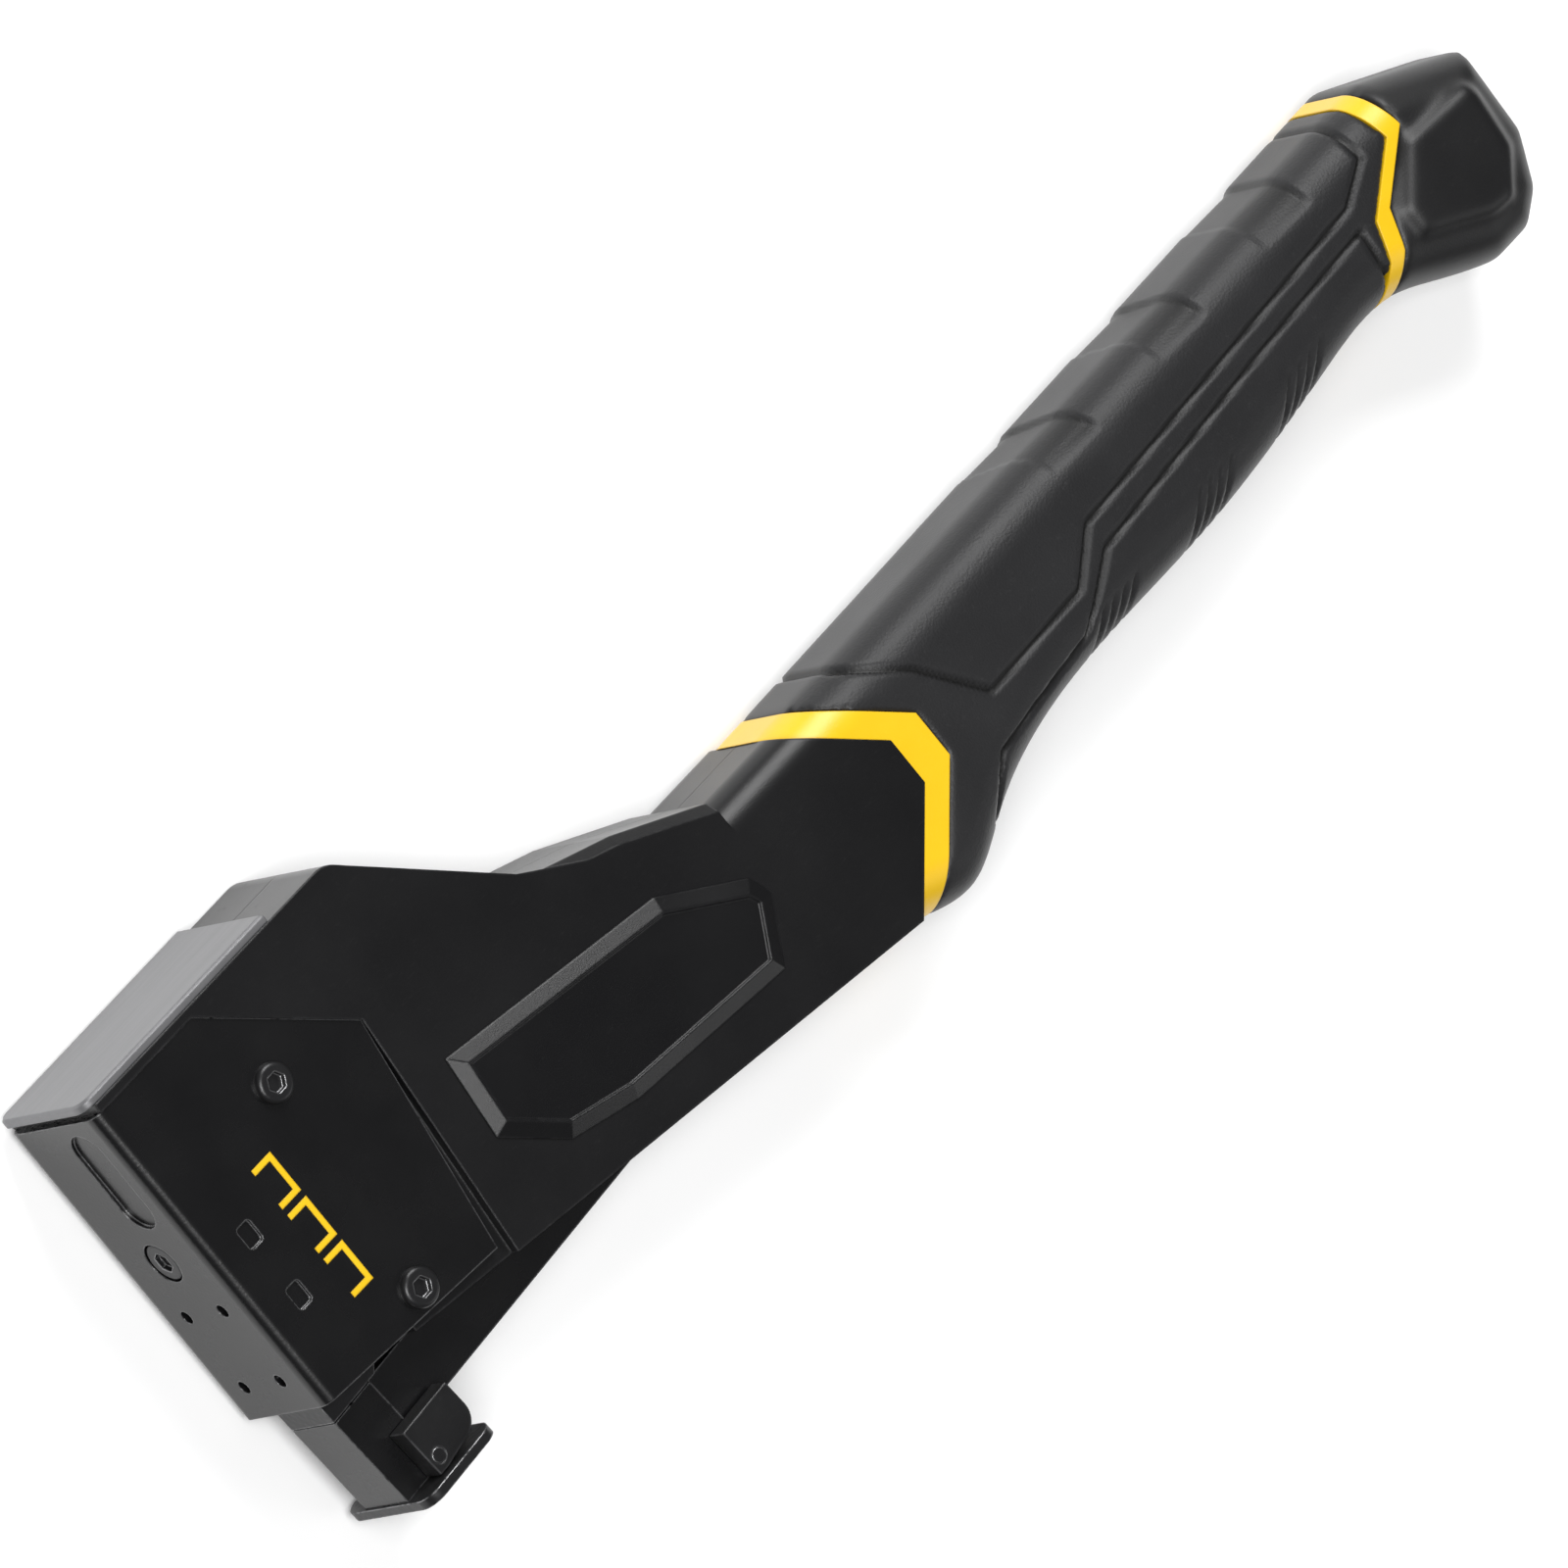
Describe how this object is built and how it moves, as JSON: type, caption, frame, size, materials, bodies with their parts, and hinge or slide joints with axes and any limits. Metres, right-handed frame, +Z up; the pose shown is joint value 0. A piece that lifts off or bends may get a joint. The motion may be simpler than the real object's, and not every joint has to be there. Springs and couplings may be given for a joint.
{
  "type": "hammer tacker",
  "caption": "Swing-type staple gun with a rubber-gripped handle, a steel-clad head, a hinged staple magazine with a pull-out drawer, and a sprung release latch.",
  "frame": {"origin": "outer face of the head's far side plate, where the driver blade's line meets the handle's centre line", "axes": "+X along the handle towards the front of the head, +Y the direction of the blow, +Z up from the side it lies on"},
  "size_m": [0.3696, 0.104, 0.036],
  "materials": {
    "black_shell": "satin",
    "black_steel": "satin black coat",
    "grey_steel": "brushed",
    "panel_black": "matt",
    "yellow_plastic": "semi-gloss",
    "grip_rubber": "soft matt",
    "butt_black": "satin",
    "screw_black": "black oxide",
    "cast_steel": "cast",
    "bright_steel": "ground",
    "bumper_rubber": "matt",
    "spring_steel": "bright",
    "staple_steel": "galvanised",
    "latch_black": "satin",
    "pusher_plastic": "satin"
  },
  "bodies": {
    "handle": {"housing_near": "black_shell", "housing_far": "black_shell", "head_frame": "black_steel", "top_cap": "grey_steel", "side_panel_near": "panel_black", "side_panel_far": "panel_black", "front_ring": "yellow_plastic", "grip_sleeve": "grip_rubber", "rear_ring": "yellow_plastic", "butt_cap": "butt_black", "butt_screw": "screw_black", "head_screws": "screw_black", "front_screw": "screw_black", "housing_screws": "screw_black", "driver_block": "cast_steel", "driver_blade": "bright_steel", "driver_pins": "bright_steel", "bumper": "bumper_rubber", "pivot_pin": "bright_steel", "stop_pin": "bright_steel", "return_spring": "spring_steel"},
    "magazine": {"magazine_channel": "black_steel", "blade_guide": "cast_steel"},
    "drawer": {"nose": "black_steel", "foot_plate": "cast_steel", "staple_rail": "bright_steel", "rear_stop": "bright_steel", "guide_rod": "bright_steel", "staple_stick": "staple_steel", "latch_pin": "cast_steel", "pusher_spring": "spring_steel", "latch_spring": "spring_steel"},
    "latch": {"release_latch": "latch_black"},
    "pusher": {"pusher": "pusher_plastic"}
  },
  "joints": [
    {"name": "magazine_swing", "type": "hinge", "parent": "handle", "child": "magazine", "pos_m": [-0.341, -0.003, 0.016], "axis": [0, 0, 1], "range_deg": [-3.8, 0], "stiffness_Nm_per_rad": 12, "springref_deg": 5.73, "deforming": ["return_spring"]},
    {"name": "drawer_slide", "type": "slide", "parent": "magazine", "child": "drawer", "axis": [0.9978, 0.0663, 0], "range_m": [0, 0.336]},
    {"name": "pusher_slide", "type": "slide", "parent": "drawer", "child": "pusher", "axis": [0.9978, 0.0663, 0], "range_m": [-0.168, 0], "stiffness_N_per_m": 20, "springref_m": 0.08, "deforming": ["pusher_spring"]},
    {"name": "latch_press", "type": "hinge", "parent": "drawer", "child": "latch", "pos_m": [-0.00856, 0.03111, 0.016], "axis": [0, 0, 1], "range_deg": [-6, 0], "stiffness_Nm_per_rad": 0.6, "springref_deg": 5.73, "deforming": ["latch_spring"]}
  ]
}
